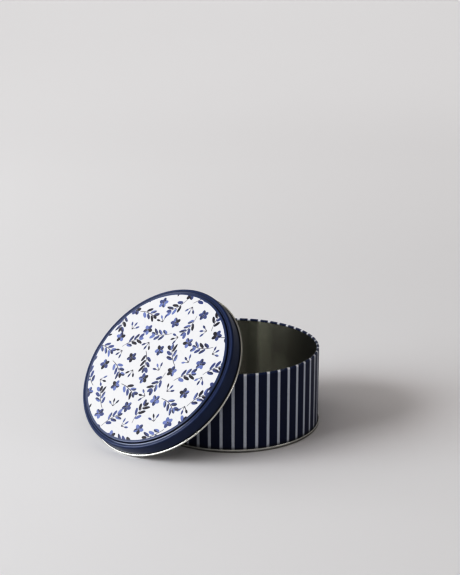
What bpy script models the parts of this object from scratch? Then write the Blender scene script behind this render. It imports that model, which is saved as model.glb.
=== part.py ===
"""Round cookie tin with its slip lid taken off and leant on the rim.

Run it with: blender --background --python part.py, or from Blender's text editor.

Three pieces of thin tinplate: a rolled body with a lock seam and a curled rim, a base that is double seamed to it,
and a drawn lid with a raised panel. Each piece is the middle line of its sheet, turned about Z and thickened.
Units are metres and +Z is up. The origin is on the floor, under the middle of the whole set.
"""

import math

import bpy
from mathutils import Vector

# Sheet and turning
SHEET = 0.00025  # thickness of the tinplate
FOLD_GAP = 0.00012  # play between the folded layers of the base seam
SEGMENTS = 56  # flats round a turn
ARC_STEP = math.radians(30)  # longest step along a bend
CURL_TURN = math.radians(300)  # how far a curled edge is rolled in

# Body
BODY_RADIUS = 0.081  # outside of the wall
BODY_HEIGHT = 0.075  # floor to the top of the rim
RIM_CURL = 0.0023  # outside diameter of the rim's inward curl
LOCK_SEAM_WIDTH = 0.0045  # folded strip down the inside of the wall
LOCK_SEAM_DEPTH = 0.0005  # how far the strip stands proud of the wall
LOCK_SEAM_END = 0.0012  # plain wall left between the strip and the curl or the base

# Base
SEAM_HEIGHT = 0.0031  # floor to the top of the double seam
SEAM_CORNER = 0.0004  # bend at the seam's two lower corners, on the middle line
HOOK_SHORT = 0.0004  # how far each interlocked hook stops short of the other one's bend
BASE_RECESS = 0.0030  # floor to the underside of the base panel
BASE_BEND = 0.0006  # bend between the recess wall and the panel, on the middle line
BASE_STEP_INSET = 0.0135  # recess wall to the panel's stiffening step
BASE_STEP_RISE = 0.0008  # height of that step
BASE_STEP_RUN = 0.0016  # width of its slope

# Lid
LID_HEIGHT = 0.01625  # underside of the curl to the top of the panel
LID_CLEARANCE = 0.00045  # body wall to the inside of the lid's skirt
RING_WIDTH = 0.0045  # outside of the skirt to the riser round the raised panel
PANEL_RISE = 0.00165  # panel above the ring round it
PANEL_EDGE = 0.0010  # outside radius of the panel's edge
RING_FILLET = 0.0006  # outside radius between the riser and the ring
SHOULDER = 0.0016  # outside radius between the ring and the skirt
LID_CURL = 0.0020  # outside diameter of the lid's outward curl

# Lid's place: it stands on its curl and its panel lies on the rim
LID_TILT = math.radians(46.84)  # lid's axis from upright, towards -Y
LID_SIDE = -0.0175  # lid's middle to one side of the tin's axis
REST_GAP = 0.0003  # panel's underside to the rim

# Worked out from the sizes above
LAYER = SHEET + FOLD_GAP  # one folded layer of the seam with its play
SKIRT_RADIUS = BODY_RADIUS + LID_CLEARANCE + SHEET  # outside of the lid's skirt, below the shoulder

# Finishes: base colour, roughness, metallic
NAVY_LITHO = ((0.010, 0.014, 0.045), 0.35, 0.0)
NAVY_LID = ((0.016, 0.026, 0.085), 0.30, 0.0)
BARE_TINPLATE = ((0.58, 0.56, 0.51), 0.34, 1.0)


def clear_scene():
    for thing in list(bpy.data.objects):
        bpy.data.objects.remove(thing, do_unlink=True)


def arc(centre, radius, start, sweep):
    """Points of a bend round centre (r, z), from the angle start through sweep; angle 0 points away from the axis."""
    steps = max(1, math.ceil(abs(sweep) / ARC_STEP - 1e-6))
    angles = [start + sweep * step / steps for step in range(steps + 1)]
    return [(centre[0] + radius * math.cos(a), centre[1] + radius * math.sin(a)) for a in angles]


def finish(name, colour, roughness, metallic):
    material = bpy.data.materials.new(name)
    material.use_nodes = True
    shader = material.node_tree.nodes["Principled BSDF"]
    shader.inputs["Base Color"].default_value = (*colour, 1.0)
    shader.inputs["Roughness"].default_value = roughness
    shader.inputs["Metallic"].default_value = metallic
    material.diffuse_color = (*colour, 1.0)
    return material


def add_object(name, data, parent):
    thing = bpy.data.objects.new(name, data)
    bpy.context.scene.collection.objects.link(thing)
    thing.parent = parent
    return thing


def turned_sheet(name, profile, parent, material):
    """A piece of sheet: its middle line in (r, z), turned about Z and thickened to both sides."""
    mesh = bpy.data.meshes.new(name)
    rows = len(profile)
    mesh.from_pydata([(r, 0.0, z) for r, z in profile], [(i, i + 1) for i in range(rows - 1)], [])
    mesh.materials.append(material)
    piece = add_object(name, mesh, parent)
    turn = piece.modifiers.new("turn", "SCREW")
    turn.steps = turn.render_steps = SEGMENTS
    turn.use_merge_vertices = True
    turn.merge_threshold = 1e-6
    turn.use_smooth_shade = True
    thicken = piece.modifiers.new("thicken", "SOLIDIFY")
    thicken.thickness = SHEET
    thicken.offset = 0.0
    thicken.use_even_offset = True
    return piece


def seam_layers():
    """Middle-line radii of the double seam's five layers: recess wall, body wall, base hook, body hook, seam wall."""
    body_wall = BODY_RADIUS - SHEET / 2
    return [body_wall + layer * LAYER for layer in (-1, 0, 1, 2, 3)]


def body_hook_bend():
    """Height of the bend's centre where the body wall turns out and up into its hook."""
    return SHEET / 2 + 2 * LAYER


def base_hook_bend():
    """Height of the bend's centre where the seam wall turns in and down into the base's hook."""
    return SEAM_HEIGHT - SHEET / 2 - LAYER


def body_profile():
    """From the end of the seam hook, down round its bend, up the wall and round the rim's curl."""
    _, wall, base_hook, hook, _ = seam_layers()
    curl = RIM_CURL / 2 - SHEET / 2
    points = [(hook, base_hook_bend() - HOOK_SHORT)]
    points += arc((base_hook, body_hook_bend()), LAYER, 0.0, -math.pi)
    points += arc((wall - curl, BODY_HEIGHT - RIM_CURL / 2), curl, 0.0, CURL_TURN)
    return points


def base_profile():
    """From the middle of the panel, over its step, down the recess wall, under and round the seam to its hook."""
    recess_wall, _, base_hook, body_hook, seam_wall = seam_layers()
    panel = BASE_RECESS + SHEET / 2
    floor = SHEET / 2
    step = recess_wall - BASE_STEP_INSET
    points = [(0.0, panel + BASE_STEP_RISE)]
    points += [(step - BASE_STEP_RUN, panel + BASE_STEP_RISE), (step, panel)]
    points += arc((recess_wall - BASE_BEND, panel - BASE_BEND), BASE_BEND, math.pi / 2, -math.pi / 2)
    points += arc((recess_wall + SEAM_CORNER, floor + SEAM_CORNER), SEAM_CORNER, math.pi, math.pi / 2)
    points += arc((seam_wall - SEAM_CORNER, floor + SEAM_CORNER), SEAM_CORNER, -math.pi / 2, math.pi / 2)
    points += arc((body_hook, base_hook_bend()), LAYER, 0.0, math.pi)
    points += [(base_hook, body_hook_bend() + HOOK_SHORT)]
    return points


def lid_profile():
    """From the middle of the panel, down the riser, across the ring, over the shoulder, down the skirt to the curl."""
    half = SHEET / 2
    skirt = SKIRT_RADIUS - half
    panel = LID_HEIGHT - half
    ring = panel - PANEL_RISE
    riser = skirt - RING_WIDTH
    edge = PANEL_EDGE - half
    fillet = RING_FILLET + half
    shoulder = SHOULDER - half
    curl = LID_CURL / 2 - half
    points = [(0.0, panel)]
    points += arc((riser - edge, panel - edge), edge, math.pi / 2, -math.pi / 2)
    points += arc((riser + fillet, ring + fillet), fillet, math.pi, math.pi / 2)
    points += arc((skirt - shoulder, ring - shoulder), shoulder, math.pi / 2, -math.pi / 2)
    points += arc((skirt + curl, LID_CURL / 2), curl, math.pi, CURL_TURN)
    return points


def lock_seam_strip(parent):
    """Folded strip down the inside of the wall, set into the wall so that the two join."""
    bottom = BASE_RECESS + BASE_STEP_RISE + SHEET + LOCK_SEAM_END
    top = BODY_HEIGHT - RIM_CURL - LOCK_SEAM_END
    flat = math.cos(math.pi / SEGMENTS)
    outer = (BODY_RADIUS - SHEET / 2) * flat
    inner = (BODY_RADIUS - SHEET) * flat - LOCK_SEAM_DEPTH
    half_width = LOCK_SEAM_WIDTH / 2
    corners = [(x, y, z) for x in (inner, outer) for y in (-half_width, half_width) for z in (bottom, top)]
    faces = [(0, 1, 3, 2), (4, 6, 7, 5), (0, 4, 5, 1), (2, 3, 7, 6), (0, 2, 6, 4), (1, 5, 7, 3)]
    mesh = bpy.data.meshes.new("lock_seam_strip")
    mesh.from_pydata(corners, [], faces)
    strip = add_object("lock_seam_strip", mesh, parent)
    step = 2 * math.pi / SEGMENTS
    strip.rotation_euler.z = (SEGMENTS // 2 - 0.5) * step
    strip.hide_render = True
    strip.display_type = "WIRE"
    return strip


def body_shell(tin):
    piece = turned_sheet("body_shell", body_profile(), tin, finish("navy_litho", *NAVY_LITHO))
    join = piece.modifiers.new("lock_seam", "BOOLEAN")
    join.operation = "UNION"
    join.object = lock_seam_strip(tin)
    return piece


def base_end(tin):
    return turned_sheet("base_end", base_profile(), tin, finish("bare_tinplate", *BARE_TINPLATE))


def lid(lid_frame):
    return turned_sheet("lid", lid_profile(), lid_frame, finish("navy_lid", *NAVY_LID))


def lid_place():
    """Where the middle of the lid's open side lies, so that its curl stands on the floor and its panel on the rim."""
    lean, rise = math.sin(LID_TILT), math.cos(LID_TILT)
    bead = LID_CURL / 2
    bead_circle = SKIRT_RADIUS - SHEET + bead
    height = bead_circle * lean + bead
    underside = LID_HEIGHT - SHEET - bead
    rim = RIM_CURL / 2
    reach = (BODY_RADIUS - rim) * lean + (BODY_HEIGHT - rim) * rise + rim
    out = (reach - height * rise - underside + REST_GAP) / lean
    return Vector((LID_SIDE, -out + bead * lean, height - bead * rise))


def box_of(pieces):
    """Lowest and highest corner of the pieces, with their modifiers, in the world."""
    bpy.context.view_layer.update()
    graph = bpy.context.evaluated_depsgraph_get()
    points = []
    for piece in pieces:
        solid = piece.evaluated_get(graph)
        points += [solid.matrix_world @ vertex.co for vertex in solid.to_mesh().vertices]
        solid.to_mesh_clear()
    low = Vector(min(point[axis] for point in points) for axis in range(3))
    high = Vector(max(point[axis] for point in points) for axis in range(3))
    return low, high


def main():
    clear_scene()
    cookie_tin = add_object("cookie_tin", None, None)
    tin = add_object("tin_axis", None, cookie_tin)
    tin.rotation_euler.z = math.pi / SEGMENTS
    lid_frame = add_object("lid_axis", None, cookie_tin)
    lid_frame.location = lid_place()
    lid_frame.rotation_euler.x = LID_TILT
    pieces = [body_shell(tin), base_end(tin), lid(lid_frame)]
    low, high = box_of(pieces)
    middle = (low + high) / 2
    cookie_tin.location = (-middle.x, -middle.y, -low.z)


main()
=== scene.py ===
"""Looks of a round cookie tin whose slip lid is off and leans on the rim.

Every piece is thin tinplate: the middle line of the sheet is drawn in (r, z), given both its faces and turned about an
axis. The body and the lid are printed outside and bare inside, and the base is bare. Units are metres and +Z is up.
"""
import math
from functools import partial

import bpy
from bpy.props import FloatProperty, FloatVectorProperty, IntProperty, PointerProperty
from mathutils import Matrix, Vector


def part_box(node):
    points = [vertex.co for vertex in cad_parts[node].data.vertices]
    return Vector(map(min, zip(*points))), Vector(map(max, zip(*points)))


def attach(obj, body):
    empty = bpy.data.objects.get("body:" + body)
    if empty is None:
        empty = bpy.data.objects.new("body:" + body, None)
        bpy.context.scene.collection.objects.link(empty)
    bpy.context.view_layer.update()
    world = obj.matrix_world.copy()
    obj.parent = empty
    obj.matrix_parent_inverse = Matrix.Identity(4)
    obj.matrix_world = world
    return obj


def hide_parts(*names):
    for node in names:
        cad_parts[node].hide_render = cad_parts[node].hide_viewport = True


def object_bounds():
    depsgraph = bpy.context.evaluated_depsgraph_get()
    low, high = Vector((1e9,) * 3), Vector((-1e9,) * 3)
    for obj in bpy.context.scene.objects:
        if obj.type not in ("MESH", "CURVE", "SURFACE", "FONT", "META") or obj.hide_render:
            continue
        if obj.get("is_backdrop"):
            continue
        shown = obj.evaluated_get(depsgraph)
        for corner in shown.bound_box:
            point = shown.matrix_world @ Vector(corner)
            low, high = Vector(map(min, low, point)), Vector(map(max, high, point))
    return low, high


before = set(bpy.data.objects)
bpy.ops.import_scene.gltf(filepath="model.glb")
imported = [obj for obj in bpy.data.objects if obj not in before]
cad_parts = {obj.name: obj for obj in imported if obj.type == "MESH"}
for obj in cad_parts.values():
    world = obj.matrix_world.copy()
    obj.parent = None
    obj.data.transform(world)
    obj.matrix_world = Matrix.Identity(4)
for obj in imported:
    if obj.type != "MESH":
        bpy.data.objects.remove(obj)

bl_info = {
    "name": "Cookie Tin",
    "version": (1, 0, 0),
    "blender": (4, 5, 0),
    "location": "3D View > Sidebar > Cookie Tin",
    "description": "Makes a printed cookie tin, its leaning lid and a pale studio round them",
    "category": "Object",
}

# Places that the frame gives
CAD_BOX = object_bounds()
BASE_LOW, BASE_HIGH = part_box("base_end")
LID_LOW, LID_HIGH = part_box("lid")
TIN_AXIS = (BASE_LOW + BASE_HIGH) / 2
LID_MIDDLE_X = (LID_LOW.x + LID_HIGH.x) / 2
RIM_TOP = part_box("body_shell")[1].z
MM = 0.001

# How the sheet is drawn
TURN_STEPS = 288  # flats round a turn
ARC_STEP = math.radians(11.25)  # longest step along a bend
ROUNDING = 1e-6  # steps that a bend may be too long by
CURL_TURN = math.radians(300)  # how far a curled edge is rolled in
LID_RINGS, BASE_RINGS = 12, 6  # rings of faces across the two flat panels
STEP_CLEAR = 0.002  # the base's rings end this far from its step
ON_AXIS = 1e-7  # points this near to the axis are one point

# How the faces are unwrapped in the unit square
WALL_STRIPS, STRIP_GAP = 4, 0.006  # strips of each face of the wall, and the gap round a strip
BASE_DISCS = (0.58, 0.58)  # width of the upper and the under face of the base
LID_DISCS = (0.80, 0.36)  # width of the printed and the bare face of the lid

PRINTED, BARE = 0, 1  # material slots of a piece


def setting(name, description, default, kind=FloatProperty, **traits):
    return kind(name=name, description=description, default=default, **traits)


length = partial(setting, unit="LENGTH", precision=5)
direction = partial(setting, subtype="ANGLE")
share = partial(setting, min=0.0, max=1.0, subtype="FACTOR")
number = partial(setting, kind=IntProperty, min=1)
colour = partial(setting, kind=FloatVectorProperty, min=0.0, max=1.0, subtype="COLOR")
strength = partial(setting, min=0.0)
power = partial(setting, unit="POWER")


class TinSizes(bpy.types.PropertyGroup):
    sheet: length("Sheet", "Thickness of the tinplate", 0.00025)
    fold_gap: length("Fold gap", "Play between the folded layers of the base seam", 0.00012)
    radius: length("Body radius", "Outside of the wall", 0.081)
    height: length("Body height", "Floor to the top of the rim", RIM_TOP)
    rim_curl: length("Rim curl", "Outside diameter of the rim's inward curl", 0.0023)
    seam_height: length("Seam height", "Floor to the top of the double seam", 0.0031)
    seam_corner: length("Seam corner", "Bend at the seam's two lower corners", 0.0004)
    hook_short: length("Hook short", "How far each hook stops short of the other one's bend", 0.0004)
    recess: length("Base recess", "Floor to the underside of the base panel", 0.0030)
    base_bend: length("Base bend", "Bend between the recess wall and the panel", 0.0006)
    step_inset: length("Step inset", "Recess wall to the panel's stiffening step", 0.0135)
    step_rise: length("Step rise", "Height of the stiffening step", 0.0008)
    step_run: length("Step run", "Width of the step's slope", 0.0016)
    step_bend: length("Step bend", "Bend at the two edges of the step", 0.0007)
    lock_width: length("Lock seam width", "Folded strip down the inside of the wall", 0.0045)
    lock_depth: length("Lock seam depth", "How far the strip stands proud of the wall", 0.0005)
    lock_end: length("Lock seam end", "Plain wall between the strip and the curl or the base", 0.0012)
    lock_groove: length("Lock seam groove", "Depth of the line that the lock seam leaves outside", 0.00022)


class LidSizes(bpy.types.PropertyGroup):
    height: length("Lid height", "Underside of the curl to the top of the panel", 0.01625)
    clearance: length("Clearance", "Body wall to the inside of the lid's skirt", 0.00045)
    ring_width: length("Ring width", "Outside of the skirt to the riser round the panel", 0.0045)
    panel_rise: length("Panel rise", "Panel above the ring round it", 0.00165)
    panel_edge: length("Panel edge", "Bend at the panel's edge", 0.0006)
    riser_lean: length("Riser lean", "How far the riser runs out on its way down", 0.0006)
    ring_bend: length("Ring bend", "Bends along the ring", 0.0003)
    groove_drop: length("Groove drop", "Groove at the foot of the riser, below the ring's level", 0.00045)
    bead_run: length("Bead run", "Foot of the riser to the top of the bead", 0.00065)
    bead_lift: length("Bead lift", "Top of the bead above the ring's level", 0.0002)
    valley_run: length("Valley run", "Top of the bead to the valley outside it", 0.00095)
    valley_drop: length("Valley drop", "Valley below the ring's level", 0.0002)
    level_run: length("Level run", "Valley to where the ring is level", 0.0009)
    shoulder: length("Shoulder", "Outside radius between the ring and the skirt", 0.0016)
    curl: length("Lid curl", "Outside diameter of the lid's outward curl", 0.0020)
    rest_gap: length("Rest gap", "Panel's underside to the rim that it leans on", 0.0003)
    tilt: direction("Tilt", "Lid's axis from upright, towards -Y", math.radians(46.84))


class TinColours(bpy.types.PropertyGroup):
    # The wall's navy and white are darker copies of the lid's: painted shade on the wall
    shaded_wall_navy: colour("Wall navy", "Ink of the wall between its stripes", (0.0085, 0.0145, 0.051))
    lid_navy: colour("Lid navy", "Ink of the lid's ring and skirt", (0.0238, 0.0425, 0.111))
    shaded_wall_white: colour("Wall white", "Stripes of the wall", (0.485, 0.515, 0.575))
    lid_white: colour("Lid white", "White panel of the lid", (0.735, 0.747, 0.785))
    lid_grey: colour("Lid grey", "Washed places of the white panel", (0.60, 0.62, 0.69))
    tinplate: colour("Tinplate", "Bare metal", (0.745, 0.748, 0.705))
    # Painted sheen up the inside of the wall, and the tone of the brighter areas on the base and inside the lid
    polished_and_sheen: colour("Polished", "Brightest strip up the inside of the wall", (0.90, 0.912, 0.86))
    # Painted shade at the foot of the base's seam
    foot_shade: colour("Grime", "Dirt at the foot of the base", (0.05, 0.048, 0.045))
    stripes: number("Stripes", "White stripes round the wall", 47)
    stripe_share: share("Stripe share", "White part of one stripe and its gap", 0.26)
    stripe_place: direction("Stripe place", "Direction of one white stripe from the tin's axis", math.radians(-45.8))


class PrintDesign(bpy.types.PropertyGroup):
    edge: length("Print edge", "Radius of the white disc on the lid", 0.0743)
    column: length("Column", "Width of one column of the half-drop repeat", 0.0268)
    drop: length("Drop", "Height of one repeat in a column", 0.0300)
    leaf: length("Leaf", "Length of a leaf", 0.0054)
    stem_width: length("Stem", "Half width of a stem", 0.00042)
    soft: length("Soft edge", "Half width of the soft edge of the ink", 0.00014)
    ink_dark: colour("Dark ink", "Darkest leaves", (0.014, 0.012, 0.018))
    ink_mid: colour("Middle ink", "Most leaves", (0.048, 0.066, 0.175))
    ink_pale: colour("Pale ink", "Palest leaves", (0.130, 0.168, 0.350))
    stem: colour("Stem ink", "Stems", (0.022, 0.018, 0.020))


class StudioLook(bpy.types.PropertyGroup):
    floor: colour("Floor", "Pale floor", (0.803, 0.805, 0.817))
    sky: strength("Sky", "Brightness of the sky above, at the left and in front", 0.50)
    sky_dim: strength("Dim sky", "Brightness of the sky all round", 0.15)
    key: strength("Key", "Strength of the wide light from the left", 1.30)
    soft_box: power("Soft box", "Power of the soft box at the left", 36.0)
    window: power("Window", "Power of the light that shines in the lid's varnish", 7.0)
    fill: power("Fill", "Power of the narrow light low on the right", 0.46)
    backdrop: power("Backdrop", "Power of the light over the far floor", 33.0)


def add_object(name, data):
    thing = bpy.data.objects.new(name, data)
    bpy.context.scene.collection.objects.link(thing)
    return thing


def smooth_mesh(name, points, faces):
    mesh = bpy.data.meshes.new(name)
    mesh.from_pydata(points, [], faces)
    mesh.shade_smooth()
    return mesh


# Sheet metal

def arc(centre, radius, start, sweep):
    """Points of a bend round centre (r, z), from the angle start through sweep; angle 0 points away from the axis."""
    steps = max(2, math.ceil(abs(sweep) / ARC_STEP - ROUNDING))
    angles = [start + sweep * step / steps for step in range(steps + 1)]
    return [Vector((centre[0] + radius * math.cos(a), centre[1] + radius * math.sin(a))) for a in angles]


def bend(before, corner, after, radius):
    """Points of a bend of that radius which rounds the corner between two straight runs."""
    corner = Vector(corner)
    back = (Vector(before) - corner).normalized()
    on = (Vector(after) - corner).normalized()
    half = back.angle(on) / 2
    reach = radius / math.tan(half)
    first, last = corner + back * reach, corner + on * reach
    centre = corner + (back + on).normalized() * (radius / math.sin(half))
    start = math.atan2(first.y - centre.y, first.x - centre.x)
    sweep = math.atan2(last.y - centre.y, last.x - centre.x) - start
    sweep = (sweep + math.pi) % (2 * math.pi) - math.pi
    return arc(centre, radius, start, sweep)


def spaced(start, end, count):
    """Points on a straight run, with its start and without its end."""
    start, end = Vector(start), Vector(end)
    return [start.lerp(end, step / count) for step in range(count)]


def rounded(corners):
    """Points of a line whose corners (r, z, radius) are bent, apart from the first and the last one."""
    points = []
    for before, corner, after in zip(corners, corners[1:], corners[2:]):
        points += bend(before[:2], corner[:2], after[:2], corner[2])
    return points


def faces_of(middle, thickness):
    """The two faces of a sheet: left and right of the way that its middle line runs."""
    left, right = [], []
    last = len(middle) - 1
    for index, point in enumerate(middle):
        back = (point - middle[index - 1]).normalized() if index else None
        on = (middle[index + 1] - point).normalized() if index < last else None
        back, on = back or on, on or back
        along = (back + on).normalized()
        offset = Vector((-along.y, along.x)) * (thickness / 2 / along.dot(on))
        left.append(point + offset)
        right.append(point - offset)
    return left, right


def runs(points):
    """How far along a line each of its points lies."""
    total = [0.0]
    for before, after in zip(points, points[1:]):
        total.append(total[-1] + (after - before).length)
    return total


class Turning:
    """One sheet turned about its own axis into a closed mesh."""

    def __init__(self, name, middle, thickness, angles, slots, dent=None):
        self.name = name
        self.faces = dict(zip(("left", "right"), faces_of(middle, thickness)))
        self.slots = dict(zip(self.faces, slots))  # material slot of each face
        self.angles = angles
        self.dent = dent  # (side, r, z, angle) to an inward shift of r

    def widths(self):
        """Length of the left and the right face's line."""
        return [runs(face)[-1] for face in self.faces.values()]

    def rows(self):
        """Every row of points round the sheet's section: (side, place in (r, z), distance along its face)."""
        there, back = ([(side, *at) for at in zip(face, runs(face))] for side, face in self.faces.items())
        return there + back[::-1]

    def rings(self, rows):
        """The mesh's points, and for each row the points round its turn: one and the same point on the axis."""
        points, rings, turns = [], [], len(self.angles)
        for side, (r, z), _ in rows:
            if abs(r) < ON_AXIS:
                rings.append([len(points)] * turns)
                points.append((0.0, 0.0, z))
                continue
            rings.append(list(range(len(points), len(points) + turns)))
            for angle in self.angles:
                deep = r - self.dent(side, r, z, angle) if self.dent else r
                points.append((deep * math.cos(angle), deep * math.sin(angle), z))
        return points, rings

    def mesh(self, lay_out):
        """lay_out(side, distance along its face, share of a turn, the same at the tile's middle) unwraps a point."""
        rows, turns = self.rows(), len(self.angles)
        points, rings = self.rings(rows)
        shares = [(angle - self.angles[0]) / (2 * math.pi) for angle in self.angles] + [1.0]
        pairs = list(zip(range(len(rows)), range(1, len(rows))))
        if abs(rows[0][1].x) > ON_AXIS:
            pairs.append((len(rows) - 1, 0))
        faces, slots, flat = [], [], []
        for low, high in pairs:
            side = rows[low][0]
            slot = self.slots[side] if side == rows[high][0] else BARE
            for turn in range(turns):
                corners = {}  # four, or three at the axis
                for row, on in ((low, 0), (high, 0), (high, 1), (low, 1)):
                    corners.setdefault(rings[row][(turn + on) % turns], (row, shares[turn + on]))
                faces.append(list(corners))
                slots.append(slot)
                tile = (shares[turn] + shares[turn + 1]) / 2
                for row, at in corners.values():
                    along = rows[row][2] if rows[row][0] == side else rows[low][2]
                    flat.append(lay_out(side, along, at, tile))
        mesh = smooth_mesh(self.name, points, faces)
        mesh.polygons.foreach_set("material_index", slots)
        unwrapped = mesh.uv_layers.new(name="OFBake")
        unwrapped.data.foreach_set("uv", [value for place in flat for value in place])
        mesh.update()
        return mesh


def even_turn():
    return [2 * math.pi * step / TURN_STEPS for step in range(TURN_STEPS)]


def two_discs(widths, discs):
    """Unwraps both faces of a lid or base as two flat discs in opposite corners of the unit square."""
    left, right = discs
    places = {
        "left": (left / 2, left / 2 / widths[0]),
        "right": (1 - right / 2, right / 2 / widths[1]),
    }

    def lay_out(side, along, at, tile):
        middle, scale = places[side]
        angle = 2 * math.pi * at
        return middle + along * scale * math.cos(angle), middle + along * scale * math.sin(angle)

    return lay_out


def strips(widths):
    """Unwraps both faces of a wall as rows of strips, one face in each half of the unit square."""
    tall = 1 / WALL_STRIPS
    halves = {"left": (0.5, widths[0]), "right": (0.0, widths[1])}

    def lay_out(side, along, at, tile):
        start, width = halves[side]
        strip = min(int(tile * WALL_STRIPS), WALL_STRIPS - 1)
        across = (at * WALL_STRIPS - strip) * (0.5 - 2 * STRIP_GAP)
        up = along / width * (tall - 2 * STRIP_GAP)
        return start + STRIP_GAP + across, strip * tall + STRIP_GAP + up

    return lay_out


def add_piece(name, mesh, place, body, node, finishes):
    piece = add_object(name, mesh)
    for finish in finishes:
        mesh.materials.append(finish)
    piece.matrix_world = place
    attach(piece, body)
    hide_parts(node)


# Shader maths

def maths(operation, reflected=False):
    """A method of a wire that adds a Math node. In a reflected one the wire comes second."""

    def method(wire, *others):
        values = (*others, wire) if reflected else (wire, *others)
        return wire.nodes.calc(operation, *values)

    return method


class Wire:
    """An output socket in a node tree. Python's operators on it add Math nodes."""

    def __init__(self, nodes, socket):
        self.nodes = nodes
        self.socket = socket

    __add__, __radd__ = maths("ADD"), maths("ADD", reflected=True)
    __sub__, __rsub__ = maths("SUBTRACT"), maths("SUBTRACT", reflected=True)
    __mul__, __rmul__ = maths("MULTIPLY"), maths("MULTIPLY", reflected=True)
    __truediv__, __pow__, __mod__ = maths("DIVIDE"), maths("POWER"), maths("FLOORED_MODULO")
    __lt__, __gt__, __abs__ = maths("LESS_THAN"), maths("GREATER_THAN"), maths("ABSOLUTE")
    floor, least, most = maths("FLOOR"), maths("MINIMUM"), maths("MAXIMUM")

    def rise(self, low, high):
        """0 below low, 1 above high and smooth between them."""
        limits = {"Value": self, "From Min": low, "From Max": high}
        return self.nodes.node("ShaderNodeMapRange", {"interpolation_type": "SMOOTHSTEP"}, limits)


class Nodes:
    """A node tree in the making."""

    def __init__(self, tree):
        self.tree = tree

    def put(self, socket, value):
        if isinstance(value, Wire):
            self.tree.links.new(value.socket, socket)
        elif socket.type == "RGBA":
            socket.default_value = (*value[:3], 1.0)
        else:
            socket.default_value = value

    def node(self, kind, choices, sockets, output=0):
        """Adds a node: its choices are set first, then the values or links of its sockets."""
        made = self.tree.nodes.new(kind)
        for name, value in choices.items():
            setattr(made, name, value)
        for name, value in sockets.items():
            self.put(made.inputs[name], value)
        return Wire(self, made.outputs[output])

    def calc(self, operation, *values):
        return self.node("ShaderNodeMath", {"operation": operation}, dict(enumerate(values)))


class Finish(Nodes):
    """A material in the making, with one Principled shader."""

    def __init__(self, name, **constants):
        self.material = bpy.data.materials.new(name)
        self.material.use_nodes = True
        super().__init__(self.material.node_tree)
        self.shader = self.tree.nodes["Principled BSDF"]
        self.surface(**constants)

    def place(self):
        """The piece's own coordinates: three wires, and the vector that they come from."""
        spot = self.node("ShaderNodeTexCoord", {}, {}, "Object")
        return *(self.node("ShaderNodeSeparateXYZ", {}, {0: spot}, axis) for axis in "XYZ"), spot

    def vector(self, x, y, z=0.0):
        return self.node("ShaderNodeCombineXYZ", {}, {"X": x, "Y": y, "Z": z})

    def stretched(self, place, times):
        return self.vector(*(axis * many for axis, many in zip(place, times)))

    def noise(self, vector, scale, detail=2.0, roughness=0.5):
        sockets = {"Vector": vector, "Scale": scale, "Detail": detail, "Roughness": roughness}
        return self.node("ShaderNodeTexNoise", {}, sockets, "Fac")

    def chance(self, x, y, seed):
        """An even random value from 0 to 1 for each whole x, y and seed."""
        return self.node("ShaderNodeTexWhiteNoise", {}, {"Vector": self.vector(x, y, seed)}, "Value")

    def mix(self, mask, below, above):
        return self.node("ShaderNodeMix", {"data_type": "RGBA"}, {0: mask, 6: below, 7: above}, 2)

    def surface(self, **sockets):
        for name, value in sockets.items():
            self.put(self.shader.inputs[name.replace("_", " ")], value)

    def bump(self, height):
        """Height in metres above the sheet."""
        self.surface(Normal=self.node("ShaderNodeBump", {}, {"Strength": 1.0, "Distance": 1.0, "Height": height}))


def toned(base, tone):
    """A colour made darker, or paler if the tone is above 1."""
    return tuple(tone * value for value in base)


def distance(a, b):
    return (a * a + b * b) ** 0.5


# Finishes. A noise is (scale, detail, roughness) and a fade is (start, end). An amount is a share from 0 to 1.

BLACK = (0.0, 0.0, 0.0)

# Varnish over the ink
INK_WAVES, INK_WAVE_HEIGHT = (38.0, 1.0), 0.00005  # slow waves of the sheet
PEEL, PEEL_HEIGHT = (900.0, 2.0), 0.0000012  # fine unevenness of the coat
SMEARS, SMEAR_ROUGHNESS = (120.0, 4.0, 0.6), 0.16  # places that were handled

# Striped wall
WALL_ROUGHNESS = 0.36
WOBBLE, WOBBLE_REACH = (420.0, 2.0), 0.012  # uneven edges of the stripes, in shares of their pitch
STRIPE_SOFT = 0.012  # half width of a stripe's soft edge, in shares of the pitch
MOTTLE, MOTTLE_FADE = (260.0, 4.0, 0.65), (0.35, 0.75)  # uneven ink
NAVY_MOTTLE, NAVY_TONE = 0.35, 0.6  # amount and tone of the uneven places
WHITE_MOTTLE, WHITE_TONE = 0.12, 0.8
RIM_LIT_NAVY = 0.6  # painted light: how far the navy turns into the lid's paler one on the rim's curl
WALL_FOOT_SHADE = 0.55  # amount of painted shade where the wall meets the seam
RUBBED, RUBBED_FADE, RUBBED_AMOUNT = (500.0, 3.0), (0.50, 0.75), 0.3  # ink worn off the top of the rim

# Bare tinplate
SHINE_STRETCH, SHINE_UPRIGHT = 0.3, 0.25  # stretch of its shine, and its turn where the grain is upright
GRAIN, GRAIN_HEIGHT = (14.0, 3.0, 0.65), 0.0000012  # fine lines from the rolling mill
STREAKS, CLOUDS = (6.0, 3.0, 0.6), (26.0, 3.0, 0.55)  # wide lines, and patches
PLATE_WAVES, PLATE_WAVE_HEIGHT = (30.0, 1.0), 0.00008
GRAIN_PART, STREAK_PART, CLOUD_PART, BRIGHT_FADE = 0.25, 0.40, 0.35, (0.30, 0.70)  # what makes a place bright
PLATE_ROUGHNESS, CLOUD_ROUGHER, BRIGHT_SMOOTHER = 0.24, 0.08, 0.08

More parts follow.
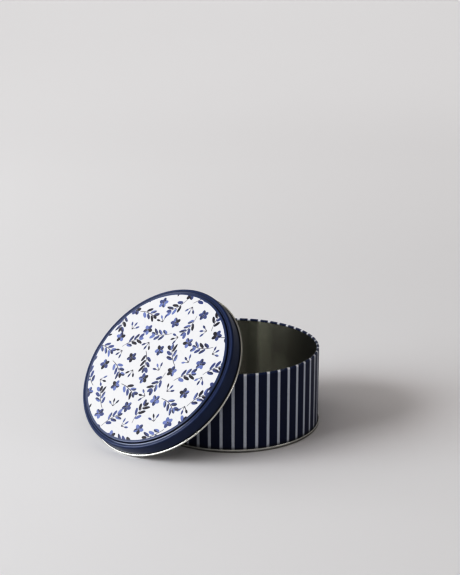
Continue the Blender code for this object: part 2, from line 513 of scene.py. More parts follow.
# Inside of the wall, by the direction from the tin's axis in radians
WALL_TONE = 0.92  # of the dullest metal
WALL_GRAIN, WALL_STREAKS = (20.0, 10.0), (1.3, 1.5)  # how close they lie round the wall, and up it
SHEEN_AT, SHEEN_FADE = math.radians(111), (0.04, 0.13)  # painted sheen: brighter strip up the wall
SHADED, SHADE_FADE, SHADE_AMOUNT = SHEEN_AT + 0.17, (0.03, 0.13), 0.3  # painted shade: darker strip beside it
SHEEN_PATCH, SHEEN_PATCH_HEIGHT, SHEEN_PATCH_RADIUS = SHEEN_AT - 0.23, 0.45, 14 * MM  # painted sheen: bright patch; its height is a share of the wall's

# Pressed base and inside of the lid
PRESSED_TONE = 0.80
PRESSED_GRAIN, PRESSED_STREAKS = (11.0, 240.0, 40.0), (4.0, 45.0, 10.0)  # how close they lie along x, y and z
WORN, WORN_FADE, WORN_AMOUNT = (14.0, 1.0), (0.5, 0.9), 0.3  # areas that are a little brighter
FOOT_SHADE_FADE, FOOT_SHADE_AMOUNT = (0.35, 0.7), 0.7  # painted shade at the foot of the base; the fade is in shares of the seam's height
FOOT_SHADE_FROM = 0.97  # where it starts, in shares of the wall's radius


def varnish(finish, spot, roughness):
    """Clear coat over the ink: a little uneven, handled, with a trace of the sheet's waves."""
    waves, peel = finish.noise(spot, *INK_WAVES), finish.noise(spot, *PEEL)
    finish.surface(Roughness=roughness + SMEAR_ROUGHNESS * finish.noise(spot, *SMEARS))
    finish.bump(waves * INK_WAVE_HEIGHT + peel * PEEL_HEIGHT)


def striped_finish(sizes, colours):
    """Navy wall with thin white upright stripes that run on over the rim's curl."""
    finish = Finish("striped_litho", IOR=1.30)
    x, y, z, spot = finish.place()
    angle = finish.calc("ARCTAN2", y, x)
    wobble = (finish.noise(spot, *WOBBLE) - 0.5) * WOBBLE_REACH
    place = (angle - colours.stripe_place) / (2 * math.pi / colours.stripes) + 0.5 + wobble
    from_middle = abs(place - place.floor() - 0.5)
    half = colours.stripe_share / 2
    white = 1 - from_middle.rise(half - STRIPE_SOFT, half + STRIPE_SOFT)
    mottle = finish.noise(spot, *MOTTLE).rise(*MOTTLE_FADE)
    ink = finish.mix(mottle * NAVY_MOTTLE, colours.shaded_wall_navy, toned(colours.shaded_wall_navy, NAVY_TONE))
    paint = finish.mix(mottle * WHITE_MOTTLE, colours.shaded_wall_white, toned(colours.shaded_wall_white, WHITE_TONE))
    curl_middle = sizes.height - sizes.rim_curl / 2
    # Painted light on the rim's curl: the wall's darker inks turn into the lid's paler ones
    rim = z.rise(sizes.height - sizes.rim_curl, curl_middle)
    ink = finish.mix(rim * RIM_LIT_NAVY, ink, colours.lid_navy)
    paint = finish.mix(rim, paint, colours.lid_white)
    # Painted shade where the wall meets the seam
    foot_shade = 1 - z.rise(sizes.seam_height, sizes.seam_height * 2)
    drawn = finish.mix(foot_shade * WALL_FOOT_SHADE, finish.mix(white, ink, paint), BLACK)
    rubbed = z.rise(curl_middle, sizes.height) * finish.noise(spot, *RUBBED).rise(*RUBBED_FADE)
    finish.surface(Base_Color=finish.mix(rubbed * RUBBED_AMOUNT, drawn, colours.tinplate))
    varnish(finish, spot, WALL_ROUGHNESS)
    return finish.material


def bare_metal(finish, colours, spot, grain_at, streaks_at, tone):
    """Tinplate with a fine rolling grain: sets its roughness and its relief, and returns its colour."""
    grain, streaks = finish.noise(grain_at, *GRAIN), finish.noise(streaks_at, *STREAKS)
    clouds = finish.noise(spot, *CLOUDS)
    bright = (GRAIN_PART * grain + STREAK_PART * streaks + CLOUD_PART * clouds).rise(*BRIGHT_FADE)
    finish.surface(Roughness=PLATE_ROUGHNESS + CLOUD_ROUGHER * clouds - BRIGHT_SMOOTHER * bright)
    finish.bump(grain * GRAIN_HEIGHT + finish.noise(spot, *PLATE_WAVES) * PLATE_WAVE_HEIGHT)
    return finish.mix(bright, toned(colours.tinplate, tone), colours.tinplate)


def wall_tinplate(sizes, colours):
    """Inside of the wall: upright grain, with painted sheen in a strip and a patch, and painted shade in a strip beside
    them.
    """
    finish = Finish("wall_tinplate", Metallic=1.0, Anisotropic=SHINE_STRETCH, Anisotropic_Rotation=SHINE_UPRIGHT)
    x, y, z, spot = finish.place()
    angle = finish.calc("ARCTAN2", y, x)
    grain_at, streaks_at = (finish.stretched((angle, z), times) for times in (WALL_GRAIN, WALL_STREAKS))
    metal = bare_metal(finish, colours, spot, grain_at, streaks_at, WALL_TONE)
    # Painted shade in one strip, and painted sheen in another strip and a patch
    shade = 1 - abs(angle - SHADED).rise(*SHADE_FADE)
    metal = finish.mix(shade * SHADE_AMOUNT, metal, BLACK)
    aside, above = (angle - SHEEN_PATCH) * sizes.radius, z - sizes.height * SHEEN_PATCH_HEIGHT
    sheen_patch = 1 - distance(aside, above).rise(0.0, SHEEN_PATCH_RADIUS)
    painted_sheen = (1 - abs(angle - SHEEN_AT).rise(*SHEEN_FADE)).most(sheen_patch)
    finish.surface(Base_Color=finish.mix(painted_sheen, metal, colours.polished_and_sheen))
    return finish.material


def pressed_tinplate(name, sizes, colours, foot_shaded=False):
    """Base or inside of the lid: grain straight across the blank. On the base, painted shade darkens the foot of the
    seam.
    """
    finish = Finish(name, Metallic=1.0, Anisotropic=SHINE_STRETCH)
    x, y, z, spot = finish.place()
    grain_at, streaks_at = (finish.stretched((x, y, z), times) for times in (PRESSED_GRAIN, PRESSED_STREAKS))
    metal = bare_metal(finish, colours, spot, grain_at, streaks_at, PRESSED_TONE)
    if foot_shaded:
        # Painted shade on the underside of the seam, where it meets the floor
        low = 1 - z.rise(*(sizes.seam_height * part for part in FOOT_SHADE_FADE))
        foot_shade = low * (distance(x, y) > sizes.radius * FOOT_SHADE_FROM)
        metal = finish.mix(foot_shade * FOOT_SHADE_AMOUNT, metal, colours.foot_shade)
    worn = finish.noise(spot, *WORN).rise(*WORN_FADE) * WORN_AMOUNT
    finish.surface(Base_Color=finish.mix(worn, metal, colours.polished_and_sheen))
    return finish.material


# Print on the lid's panel

# Leaves
LEAF_STALK, LEAF_TIP, LEAF_FULL = 0.55, 0.6, 2.22  # how the width grows, how it ends, and what brings its most to 1
DARK_LEAVES, PALE_LEAVES = (0.22, 0.26), (0.70, 0.74)  # fades of a random pick from dark to middle, and on to pale
REPICK, PLAIN_LEAVES = 7.0, 0.4  # makes a second pick of the first, and the part of it that has no dark half
DARK_HALF_FADE, DARK_HALF = (-0.1, 0.25), 0.85
OUTLINE_FADE, OUTLINE = (0.55, 1.0), 0.5

# Sprigs
STEM_CURVE, STEM_ASIDE = 14.0, 1.0 * MM  # how far it bends, per metre, and its shift
STEM_FOOT, STEM_END, TIP_START = -12.4 * MM, 6.6 * MM, 6.2 * MM  # along the stem
SPRIG_SLOPE, SPRIG_STEP, SPRIG_LEAF_WIDTH = 0.8, 1.02, 0.34  # lean of a leaf, and two sizes in leaf lengths
SPRIG_SHIFT, SPRIG_GAP = 1.2 * MM, 0.5 * MM  # of the leaves along the stem, and between a leaf and the stem
SPRIG_PAIRS = 1.5  # pairs of leaves count from the middle one, and those beyond this are left out
SPRIG_TURN_SEED, SPRIG_SEED, TIP_SEED = 5.0, 1.0, 2.0
SPRIG_KEYS, FAN_KEY = (3, 5), 7  # tell the leaves of one motif from those of the next

# Blossoms and sprays: count of leaves, their reach and width in leaf lengths, their share of a full turn, and a seed
BLOSSOM = (5, 1.05, 0.37, 1.0, 11.0)
SPRAY = (3, 1.6, 0.22, 0.36, 21.0)
FAN_LEAF, FAN_STALK, FAN_LOW = 0.9, 0.8, 0.8  # length of a leaf, its part beyond the stalk, drop of an open fan's foot

# Ground
WASH, WASH_FADE = (160.0, 4.0, 0.6), (0.35, 0.7)  # uneven ink and paper
PAPER_WASH = 0.22
DRIFT, DRIFT_REACH = (55.0, 1.0), 1.6 * MM  # how far the print wanders

# Ring and skirt of the lid
PANEL_SOFT = 0.12 * MM
RING_WASH, RING_TONE = 0.25, 0.7
CREASE_TOP, CREASE_AMOUNT, CREASE_TONE = 1.9, 0.9, 0.1  # painted shade: dark line above the curl; its top is in curls
SKIRT_FADE, SKIRT_SHADE = (-0.25 * MM, 0.05 * MM), 0.25  # painted shade on the skirt; the fade is about the ring's level
GROOVE_FADE, GROOVE_BELOW, GROOVE_SHADE = (0.15 * MM, 0.45 * MM), 0.6 * MM, 0.85  # painted shade in the groove, which lies below the panel's top
# Valley outside the bead, with painted shade in it
VALLEY_FADE, VALLEY_AMOUNT, VALLEY_SHADE = (0.25 * MM, 0.55 * MM), 0.9, 0.35
SKIRT_COAT = 0.2  # clear coat on the skirt, where the ring has 1
COAT_LESS = (0.9, 0.4, 0.65, 0.9)  # taken off in the hollows, on the panel, on the ring's outer part, in the crease
LID_ROUGHNESS, RING_ROUGHER = 0.28, 0.35


def leaf_width(t, widest):
    """Half width of a leaf along its length t, from 0 at the stalk to 1 at the tip: full near the stalk, pointed."""
    t = t.most(0.0).least(1.0)
    return (t ** LEAF_STALK) * ((1 - t) ** LEAF_TIP) * (LEAF_FULL * widest)


def half_drop(u, v, design):
    """The repeat's cell at (u, v): its column and row, and the place in it from its middle."""
    across = (u / design.column).floor()
    shift = (across % 2) * (design.drop / 2)
    down = ((v + shift) / design.drop).floor()
    return across, down, u - (across + 0.5) * design.column, v + shift - (down + 0.5) * design.drop


def turned(finish, p, q, turn):
    """The place (p, q) seen from a motif that is turned by a share of a full turn."""
    angle = turn * (2 * math.pi)
    cosine, sine = finish.calc("COSINE", angle), finish.calc("SINE", angle)
    return p * cosine - q * sine, p * sine + q * cosine


def leaf(finish, design, ground, side, width, widest, pick, shown=1):
    """One painted leaf, from the place beside its middle line and its half width there.

    Its wash is blue or near black, many leaves have a dark half, and the outline is blue.
    """
    wash = finish.mix(pick.rise(*DARK_LEAVES), design.ink_dark, design.ink_mid)
    wash = finish.mix(pick.rise(*PALE_LEAVES), wash, design.ink_pale)
    dark_half = (side / widest).rise(*DARK_HALF_FADE) * ((pick * REPICK) % 1.0 > PLAIN_LEAVES)
    wash = finish.mix(dark_half * DARK_HALF, wash, design.ink_dark)
    edge = abs(side) / width.most(design.soft)
    wash = finish.mix(edge.rise(*OUTLINE_FADE) * OUTLINE, wash, design.ink_mid)
    shape = (width - abs(side)).rise(-design.soft, design.soft) * shown
    return finish.mix(shape, ground, wash)


def sprigs(finish, design, ground, u, v):
    """Curved stems with pointed leaves on alternate sides and one at the tip, each turned its own way."""
    column, row, p, q = half_drop(u, v, design)
    across, along = turned(finish, p, q, finish.chance(column, row, SPRIG_TURN_SEED))
    across = across - along * along * STEM_CURVE + STEM_ASIDE
    right, out = across > 0.0, abs(across)
    long, wide, step = design.leaf, design.leaf * SPRIG_LEAF_WIDTH, design.leaf * SPRIG_STEP
    level = along - out * SPRIG_SLOPE + right * (step / 2) - SPRIG_SHIFT
    pair = (level / step + 0.5).floor()
    side = (level - pair * step) * math.cos(math.atan(SPRIG_SLOPE))
    width = leaf_width((out - SPRIG_GAP) / long, wide)
    tip = leaf_width((along - TIP_START) / long, wide)
    stem = (design.stem_width - out).rise(-design.soft, design.soft)
    stalk = stem * (along > STEM_FOOT) * (along < STEM_END)
    drawn = finish.mix(stalk, ground, design.stem)
    pick = finish.chance(column * SPRIG_KEYS[0] + right, row * SPRIG_KEYS[1] + pair, SPRIG_SEED)
    drawn = leaf(finish, design, drawn, side, width, wide, pick, abs(pair) < SPRIG_PAIRS)
    return leaf(finish, design, drawn, across, tip, wide, finish.chance(column, row, TIP_SEED))


def fans(finish, design, ground, u, v, motif):
    """Leaves that spread from one point on thin stalks: a blossom if they go all round, and otherwise a spray."""
    count, reach, slim, spread, seed = motif
    reach, long, wide = design.leaf * reach, design.leaf * FAN_LEAF, design.leaf * slim
    column, row, p, q = half_drop(u, v, design)
    p, q = turned(finish, p, q, finish.chance(column, row, seed))
    q = q + (1 - spread) * reach * FAN_LOW
    away = distance(p, q)
    angle = finish.calc("ARCTAN2", p, q)
    step = 2 * math.pi * spread / count
    most = count / 2 if spread == 1 else (count - 1) / 2
    index = (angle / step + 0.5).floor().most(-most).least(most)
    off = angle - index * step
    out, side = away * finish.calc("COSINE", off), away * finish.calc("SINE", off)
    stem = (design.stem_width - abs(side)).rise(-design.soft, design.soft)
    stalk = stem * (out > 0.0) * (out < reach - long * FAN_STALK)
    drawn = finish.mix(stalk, ground, design.stem)
    width = leaf_width((out - (reach - long)) / long, wide)
    pick = finish.chance(column * FAN_KEY + index % count, row, seed + 1)
    return leaf(finish, design, drawn, side, width, wide, pick)


def panel_print(finish, design, ground, x, y, z):
    """Half-drop print of sprigs, blossoms and sprays that wanders a little."""
    drift_u, drift_v = (finish.noise(finish.vector(*axes), *DRIFT) for axes in ((x, y, z), (y, z, x)))
    u = x + (drift_u - 0.5) * DRIFT_REACH
    v = y + (drift_v - 0.5) * DRIFT_REACH
    drawn = sprigs(finish, design, ground, u, v)
    drawn = fans(finish, design, drawn, u - design.column / 3, v - design.drop / 2, BLOSSOM)
    return fans(finish, design, drawn, u - design.column * 2 / 3, v, SPRAY)


def lid_finish(sizes, lid, colours, design):
    """White printed panel inside a navy edge, ring and skirt. The ring's hollows, the skirt and the crease above the
    curl have painted shade, and the ring's bead shines.
    """
    finish = Finish("lid_litho", Coat_Roughness=0.12, Coat_IOR=1.5, IOR=1.28)
    x, y, z, spot = finish.place()
    away = distance(x, y)
    wash = finish.noise(spot, *WASH).rise(*WASH_FADE)
    paper = finish.mix(wash * PAPER_WASH, colours.lid_white, colours.lid_grey)
    drawn = panel_print(finish, design, paper, x, y, z)
    panel = (design.edge - away).rise(-PANEL_SOFT, PANEL_SOFT) * (z > lid.height - lid.panel_rise / 2)

    # Painted shade in the crease between the skirt and the curl
    crease_shade = 1 - z.rise(lid.curl, lid.curl * CREASE_TOP)
    level = lid.height - lid.panel_rise
    top = z.rise(*(level + shift for shift in SKIRT_FADE))
    foot = sizes.radius + lid.clearance - lid.ring_width
    groove = (1 - abs(away - foot).rise(*GROOVE_FADE)) * (z < lid.height - GROOVE_BELOW)
    rise_start = foot + lid.bead_run + lid.valley_run
    rise_middle, rise_end = rise_start + lid.level_run / 2, rise_start + lid.level_run
    valley = (1 - abs(away - rise_middle).rise(*VALLEY_FADE)) * VALLEY_AMOUNT
    outer = away.rise(rise_middle, rise_end) * top

    ink = finish.mix(wash * RING_WASH, colours.lid_navy, toned(colours.lid_navy, RING_TONE))
    ink = finish.mix(crease_shade * CREASE_AMOUNT, ink, toned(colours.lid_navy, CREASE_TONE))
    # Painted shade on the skirt below the ring
    ink = finish.mix((1 - top) * SKIRT_SHADE, ink, BLACK)
    # Painted shade in the groove and the valley
    ink = finish.mix((groove * GROOVE_SHADE).most(valley * VALLEY_SHADE), ink, BLACK)
    coat = SKIRT_COAT + (1 - SKIRT_COAT) * top
    for mask, less in zip((groove.most(valley), panel, outer, crease_shade), COAT_LESS):
        coat = coat * (1 - less * mask)
    finish.surface(Base_Color=finish.mix(panel, ink, drawn), Coat_Weight=coat)
    varnish(finish, spot, LID_ROUGHNESS + valley.most(outer) * RING_ROUGHER)
    return finish.material


# Pieces

def layer_pitch(sizes):
    """One folded layer of the seam with its play."""
    return sizes.sheet + sizes.fold_gap


def seam_layers(sizes):
    """Middle-line radii of the double seam's five layers: recess wall, body wall, base hook, body hook, seam wall."""
    wall = sizes.radius - sizes.sheet / 2
    return [wall + count * layer_pitch(sizes) for count in (-1, 0, 1, 2, 3)]


def hook_bends(sizes):
    """Heights of the bends' centres: the body's hook and the base's hook."""
    layer = layer_pitch(sizes)
    return sizes.sheet / 2 + 2 * layer, sizes.seam_height - sizes.sheet / 2 - layer


def body_line(sizes):
    """From the end of the seam hook, down round its bend, up the wall and round the rim's curl."""
    _, wall, base_hook, hook, _ = seam_layers(sizes)
    low, high = hook_bends(sizes)
    curl = (sizes.rim_curl - sizes.sheet) / 2
    points = [Vector((hook, high - sizes.hook_short))]
    points += arc((base_hook, low), layer_pitch(sizes), 0.0, -math.pi)
    fade = sizes.lock_depth
    stops = [end + shift for end in lock_seam_span(sizes) for shift in (-fade, 0.0, fade)]
    points += [Vector((wall, stop)) for stop in stops]
    points += arc((wall - curl, sizes.height - sizes.rim_curl / 2), curl, 0.0, CURL_TURN)
    return points


def lock_seam_span(sizes):
    """Lower and upper end of the lock seam's strip."""
    low = sizes.recess + sizes.step_rise + sizes.sheet + sizes.lock_end
    return low, sizes.height - sizes.rim_curl - sizes.lock_end


def lock_seam_turn(sizes):
    """Angles round the wall, closer together at the lock seam, which is at -X."""
    fade = sizes.lock_depth / sizes.radius
    half = sizes.lock_width / 2 / sizes.radius
    near = [place + shift * fade for place in (-half, 0.0, half) for shift in (-1.0, -0.5, 0.0, 0.5, 1.0)]
    close = [math.pi + a for a in near]
    return sorted(close + [a for a in even_turn() if min(abs(a - c) for c in close) > fade / 2])


def lock_seam_dent(sizes):
    """Inward shift of the wall at the lock seam: a folded strip inside and a fine groove outside."""
    low, high = lock_seam_span(sizes)
    fade = sizes.lock_depth

    def dent(side, r, z, angle):
        if not low - fade / 2 < z < high + fade / 2 or r < sizes.radius - sizes.sheet * 2:
            return 0.0
        from_seam = abs(angle - math.pi) * sizes.radius
        if side == "left":
            inside = min(1.0, max(0.0, (sizes.lock_width / 2 + fade / 2 - from_seam) / fade))
            ends = min(1.0, max(0.0, (min(z - low, high - z) + fade / 2) / fade))
            return sizes.lock_depth * inside * ends
        return sizes.lock_groove * max(0.0, 1 - from_seam / fade)

    return dent


def base_line(sizes):
    """From the middle of the panel, over its step, down the recess wall, under and round the seam to its hook."""
    recess_wall, _, base_hook, body_hook, seam_wall = seam_layers(sizes)
    low, high = hook_bends(sizes)
    floor, panel = sizes.sheet / 2, sizes.recess + sizes.sheet / 2
    top, step = panel + sizes.step_rise, recess_wall - sizes.step_inset
    inner = step - sizes.step_run
    corner, quarter = sizes.seam_corner, math.pi / 2
    points = spaced((0.0, top), (inner - STEP_CLEAR, top), BASE_RINGS)
    points += bend((0.0, top), (inner, top), (step, panel), sizes.step_bend)
    points += bend((inner, top), (step, panel), (recess_wall, panel), sizes.step_bend)
    points += arc((recess_wall - sizes.base_bend, panel - sizes.base_bend), sizes.base_bend, quarter, -quarter)
    points += arc((recess_wall + corner, floor + corner), corner, math.pi, quarter)
    points += arc((seam_wall - corner, floor + corner), corner, -quarter, quarter)
    points += arc((body_hook, high), layer_pitch(sizes), 0.0, math.pi)
    points += [Vector((base_hook, low + sizes.hook_short))]
    return points


def lid_line(sizes, lid):
    """From the middle of the panel, down the riser, across the ring, over the shoulder, down the skirt to the curl."""
    half = sizes.sheet / 2
    skirt = sizes.radius + lid.clearance + half
    panel = lid.height - half
    ring = panel - lid.panel_rise
    riser = skirt - lid.ring_width
    shoulder, curl = lid.shoulder - half, lid.curl / 2 - half
    bead = riser + lid.bead_run
    valley = bead + lid.valley_run
    corners = [
        (0.0, panel, 0.0),
        (riser - lid.riser_lean, panel, lid.panel_edge),
        (riser, ring - lid.groove_drop, lid.ring_bend),
        (bead, ring + lid.bead_lift, lid.ring_bend),
        (valley, ring - lid.valley_drop, lid.ring_bend),
        (valley + lid.level_run, ring, lid.ring_bend),
        (skirt, ring - half, shoulder),
        (skirt, lid.curl, 0.0),
    ]
    points = spaced((0.0, panel), (riser - lid.riser_lean - lid.panel_edge, panel), LID_RINGS)
    points += rounded(corners)
    points += arc((skirt + curl, lid.curl / 2), curl, math.pi, CURL_TURN)
    return points


def lid_place(sizes, lid):
    """Stands the lid on its curl, with its panel on the tin's rim."""
    lean, rise = math.sin(lid.tilt), math.cos(lid.tilt)
    bead, rim = lid.curl / 2, sizes.rim_curl / 2
    bead_circle = sizes.radius + lid.clearance + bead
    height = bead_circle * lean + bead
    underside = lid.height - sizes.sheet - bead
    reach = (sizes.radius - rim) * lean + (sizes.height - rim) * rise + rim
    out = (reach - height * rise - underside + lid.rest_gap) / lean
    middle = Vector((LID_MIDDLE_X, TIN_AXIS.y - out + bead * lean, height - bead * rise))
    return Matrix.Translation(middle) @ Matrix.Rotation(lid.tilt, 4, "X")


def tin_place():
    return Matrix.Translation((TIN_AXIS.x, TIN_AXIS.y, 0.0))


class COOKIETIN_OT_body(bpy.types.Operator):
    """Rolled wall with its stripes, the curled rim and the lock seam"""

    bl_idname = "cookie_tin.body"
    bl_label = "Body"

    def execute(self, context):
        sizes, colours = context.scene.tin_sizes, context.scene.tin_colours
        line, turn, dent = body_line(sizes), lock_seam_turn(sizes), lock_seam_dent(sizes)
        wall = Turning("tin_body", line, sizes.sheet, turn, (BARE, PRINTED), dent)
        mesh = wall.mesh(strips(wall.widths()))
        finishes = [striped_finish(sizes, colours), wall_tinplate(sizes, colours)]
        add_piece("tin_body", mesh, tin_place(), "tin", "body_shell", finishes)
        return {"FINISHED"}


class COOKIETIN_OT_base(bpy.types.Operator):
    """Pressed base with its recess, its stiffening step and the double seam"""

    bl_idname = "cookie_tin.base"
    bl_label = "Base"

    def execute(self, context):
        sizes, colours = context.scene.tin_sizes, context.scene.tin_colours
        base = Turning("tin_base", base_line(sizes), sizes.sheet, even_turn(), (BARE, BARE))
        mesh = base.mesh(two_discs(base.widths(), BASE_DISCS))
        plate = pressed_tinplate("base_tinplate", sizes, colours, foot_shaded=True)
        add_piece("tin_base", mesh, tin_place(), "tin", "base_end", [plate, plate])
        return {"FINISHED"}


class COOKIETIN_OT_lid(bpy.types.Operator):
    """Drawn lid with its raised printed panel, ring, skirt and bare curl"""

    bl_idname = "cookie_tin.lid"
    bl_label = "Lid"

    def execute(self, context):
        scene = context.scene
        sizes, lid, colours = scene.tin_sizes, scene.tin_lid, scene.tin_colours
        cap = Turning("tin_lid", lid_line(sizes, lid), sizes.sheet, even_turn(), (PRINTED, BARE))
        mesh = cap.mesh(two_discs(cap.widths(), LID_DISCS))
        printed = lid_finish(sizes, lid, colours, scene.tin_print)
        finishes = [printed, pressed_tinplate("lid_tinplate", sizes, colours)]
        add_piece("tin_lid", mesh, lid_place(sizes, lid), "lid", "lid", finishes)
        return {"FINISHED"}


# Stage. Left and back are as the camera sees them.

LEFT, BACK, UP = Vector((-0.715, -0.699, 0.0)), Vector((-0.699, 0.715, 0.0)), Vector((0.0, 0.0, 1.0))
CAMERA_PLACE = (0.87925, -0.86577, 0.50966)
CAMERA_TURN = (math.radians(73.12), 0.0, math.radians(44.35))
CAMERA_LENS, CAMERA_SENSOR = 87.65, 36.0  # millimetres; the sensor is measured along its longer side
TONE_WHITE = 1.6  # brightness that prints as white
TONE_CURVE = ((0.05, 0.015), (0.15, 0.070), (0.35, 0.230), (0.70, 0.610), (1.00, 0.830), (1.25, 0.930))
ALL_CHANNELS = 3  # the curve that acts on red, green and blue together

# Lights
SKY_TINT = (1.0, 0.935, 0.895)
SKY_WAY = (UP * 0.75 + LEFT * 0.40 - BACK * 0.65).normalized()  # where the sky is brightest
KEY_RISE, KEY_FORWARD = math.radians(22), math.radians(19)  # key light above the floor, and from the left to the front
KEY_WIDTH = math.radians(40)  # how wide the key light looks from the tin
KEY_TINT = (0.97, 0.985, 1.0)
KEY_AWAY, LAMP_AWAY = 4.0, 2.0
WINDOW_WAY, WINDOW_WIDTH = LEFT * 0.845 + BACK * 0.324 + UP * 0.432, 1.3  # its edge shines in the lid's flat faces
FILL_WAY, FILL_WIDTH, FILL_SPREAD = LEFT * -0.90 - BACK * 0.40 + UP * 0.18, 0.72, math.radians(60)
BACKDROP_AWAY, BACKDROP_SIDE, BACKDROP_RISE = 2.9, 1.4, 2.2  # place of the light over the far floor
BACKDROP_WIDTH, BACKDROP_DEPTH = 5.0, 2.0
BACKDROP_TURN = 0.4  # how far behind its place it shines

# Floor: flat round the tin, then rising to its edge, with painted light that makes it paler behind the tin
FLAT_FLOOR, FLOOR_EDGE, FLOOR_RISE = 1.4, 5.0, 1.1
FLOOR_ROWS, FLOOR_TURNS = 25, 96
FLOOR_GRAIN, FLOOR_DARKER, FLOOR_LIT = (3.0, 3.0), 0.97, 1.09
LIT_START, LIT_END, LIT_LOSS = (0.2, 1.2), (1.7, 2.8), 0.8  # painted light: distances behind, and how much is lost at the end


def floor_finish(studio):
    finish = Finish("studio_floor", Roughness=0.9)
    x, y, _, spot = finish.place()
    grain = finish.noise(spot, *FLOOR_GRAIN)
    plain = finish.mix(grain, toned(studio.floor, FLOOR_DARKER), studio.floor)
    # Painted light: a paler band of floor behind the tin
    behind = x * BACK.x + y * BACK.y
    painted_light = behind.rise(*LIT_START) * (1 - LIT_LOSS * behind.rise(*LIT_END))
    finish.surface(Base_Color=finish.mix(painted_light, plain, toned(studio.floor, FLOOR_LIT)))
    return finish.material


def add_floor(studio):
    """A round floor that is flat under the tin and curves up far from it."""
    points, faces = [(0.0, 0.0, 0.0)], []
    angles = [2 * math.pi * turn / FLOOR_TURNS for turn in range(FLOOR_TURNS)]
    for row in range(FLOOR_ROWS):
        part = row / (FLOOR_ROWS - 1)
        r, z = FLAT_FLOOR + (FLOOR_EDGE - FLAT_FLOOR) * part, FLOOR_RISE * part ** 2
        points += [(r * math.cos(angle), r * math.sin(angle), z) for angle in angles]
    for turn in range(FLOOR_TURNS):
        on = (turn + 1) % FLOOR_TURNS
        faces.append((0, 1 + turn, 1 + on))
        for row in range(FLOOR_ROWS - 1):
            low, high = 1 + row * FLOOR_TURNS, 1 + (row + 1) * FLOOR_TURNS
            faces.append((low + turn, high + turn, high + on, low + on))
    mesh = smooth_mesh("studio_floor", points, faces)
    mesh.materials.append(floor_finish(studio))
    floor = add_object("studio_floor", mesh)
    floor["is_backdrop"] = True


def add_sky(studio):
    """Even dim light all round, brighter above the tin, to its left and in front of it."""
    world = bpy.data.worlds.new("studio_sky")
    world.use_nodes = True
    sky = Nodes(world.node_tree)
    way = sky.node("ShaderNodeTexCoord", {}, {}, "Generated")
    facing = sky.node("ShaderNodeVectorMath", {"operation": "DOT_PRODUCT"}, {0: way, 1: SKY_WAY}, "Value")
    background = sky.tree.nodes["Background"]
    sky.put(background.inputs["Color"], SKY_TINT)
    sky.put(background.inputs["Strength"], facing.most(0.0) * studio.sky + studio.sky_dim)
    bpy.context.scene.world = world


def add_light(name, kind, place, target, **traits):
    lamp = bpy.data.lights.new(name, kind)
    for trait, value in traits.items():
        setattr(lamp, trait, value)
    light = add_object(name, lamp)
    light.location = place
    light.rotation_euler = (place - target).to_track_quat("Z", "Y").to_euler()


def add_disc(name, way, energy, width, **traits):
    """A round soft light that shines on the tin from that way."""
    add_light(name, "AREA", way * LAMP_AWAY, Vector(), energy=energy, shape="DISK", size=width, **traits)


def add_lights(studio):
    """Key light and soft box from the left, a window behind them, a weak fill and a light over the far floor."""
    level = LEFT * math.cos(KEY_FORWARD) - BACK * math.sin(KEY_FORWARD)
    way = level * math.cos(KEY_RISE) + UP * math.sin(KEY_RISE)
    add_light("key_light", "SUN", way * KEY_AWAY, Vector(), energy=studio.key, angle=KEY_WIDTH, color=KEY_TINT)
    add_disc("soft_box", way, studio.soft_box, 2 * LAMP_AWAY * math.tan(KEY_WIDTH / 2), color=KEY_TINT)
    add_disc("window_light", WINDOW_WAY, studio.window, WINDOW_WIDTH)
    add_disc("fill_light", FILL_WAY, studio.fill, FILL_WIDTH, spread=FILL_SPREAD)
    far = BACK * BACKDROP_AWAY + LEFT * BACKDROP_SIDE
    panel = {"shape": "RECTANGLE", "size": BACKDROP_WIDTH, "size_y": BACKDROP_DEPTH}
    place, target = far + UP * BACKDROP_RISE, far + BACK * BACKDROP_TURN
    add_light("backdrop_light", "AREA", place, target, energy=studio.backdrop, **panel)


def add_camera(scene):
    camera = add_object("camera", bpy.data.cameras.new("camera"))
    camera.location, camera.rotation_euler = CAMERA_PLACE, CAMERA_TURN
    camera.data.lens, camera.data.sensor_width = CAMERA_LENS, CAMERA_SENSOR
    scene.camera = camera


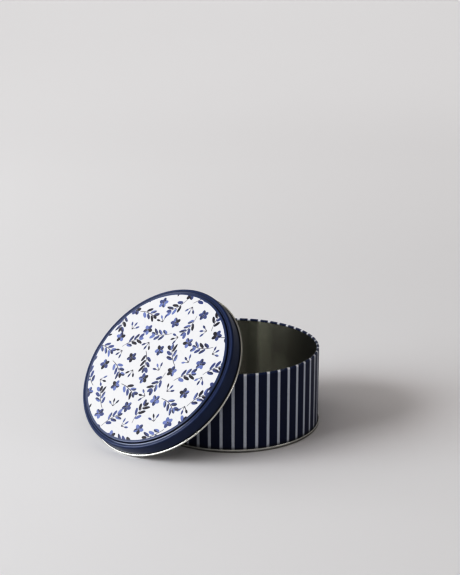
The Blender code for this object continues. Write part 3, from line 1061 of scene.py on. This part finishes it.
def set_tones(scene):
    """Contrast of the finished picture."""
    view = scene.view_settings
    view.view_transform = "Standard"
    view.use_curve_mapping = True
    view.curve_mapping.white_level = (TONE_WHITE, TONE_WHITE, TONE_WHITE)
    for bright, printed in TONE_CURVE:
        view.curve_mapping.curves[ALL_CHANNELS].points.new(bright / TONE_WHITE, printed)
    view.curve_mapping.update()


class COOKIETIN_OT_stage(bpy.types.Operator):
    """Pale floor, soft light from the left and the camera"""

    bl_idname = "cookie_tin.stage"
    bl_label = "Stage"

    def execute(self, context):
        studio = context.scene.tin_studio
        add_floor(studio)
        add_sky(studio)
        add_lights(studio)
        add_camera(context.scene)
        set_tones(context.scene)
        return {"FINISHED"}


class COOKIETIN_PT_panel(bpy.types.Panel):
    """Pieces of the tin, each with its button, and their sizes and colours"""

    bl_idname = "COOKIETIN_PT_panel"
    bl_label = "Cookie Tin"
    bl_space_type = "VIEW_3D"
    bl_region_type = "UI"
    bl_category = "Cookie Tin"

    def draw(self, context):
        for operator in OPERATORS:
            self.layout.operator(operator.bl_idname)
        for name, group in GROUPS.items():
            box = self.layout.box()
            for field in group.__annotations__:
                box.prop(getattr(context.scene, name), field)


GROUPS = {
    "tin_sizes": TinSizes,
    "tin_lid": LidSizes,
    "tin_colours": TinColours,
    "tin_print": PrintDesign,
    "tin_studio": StudioLook,
}
OPERATORS = (COOKIETIN_OT_body, COOKIETIN_OT_base, COOKIETIN_OT_lid, COOKIETIN_OT_stage)


def register():
    for made in (*GROUPS.values(), *OPERATORS, COOKIETIN_PT_panel):
        bpy.utils.register_class(made)
    for name, group in GROUPS.items():
        setattr(bpy.types.Scene, name, PointerProperty(type=group))


def unregister():
    for name in GROUPS:
        delattr(bpy.types.Scene, name)
    for made in (COOKIETIN_PT_panel, *reversed(OPERATORS), *reversed(GROUPS.values())):
        bpy.utils.unregister_class(made)


def main():
    register()
    bpy.ops.cookie_tin.body()
    bpy.ops.cookie_tin.base()
    bpy.ops.cookie_tin.lid()
    bpy.ops.cookie_tin.stage()
    boxes = {"cad": CAD_BOX, "visual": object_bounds()}
    {name: [list(corner) for corner in box] for name, box in boxes.items()}


if __name__ == "__main__":
    main()
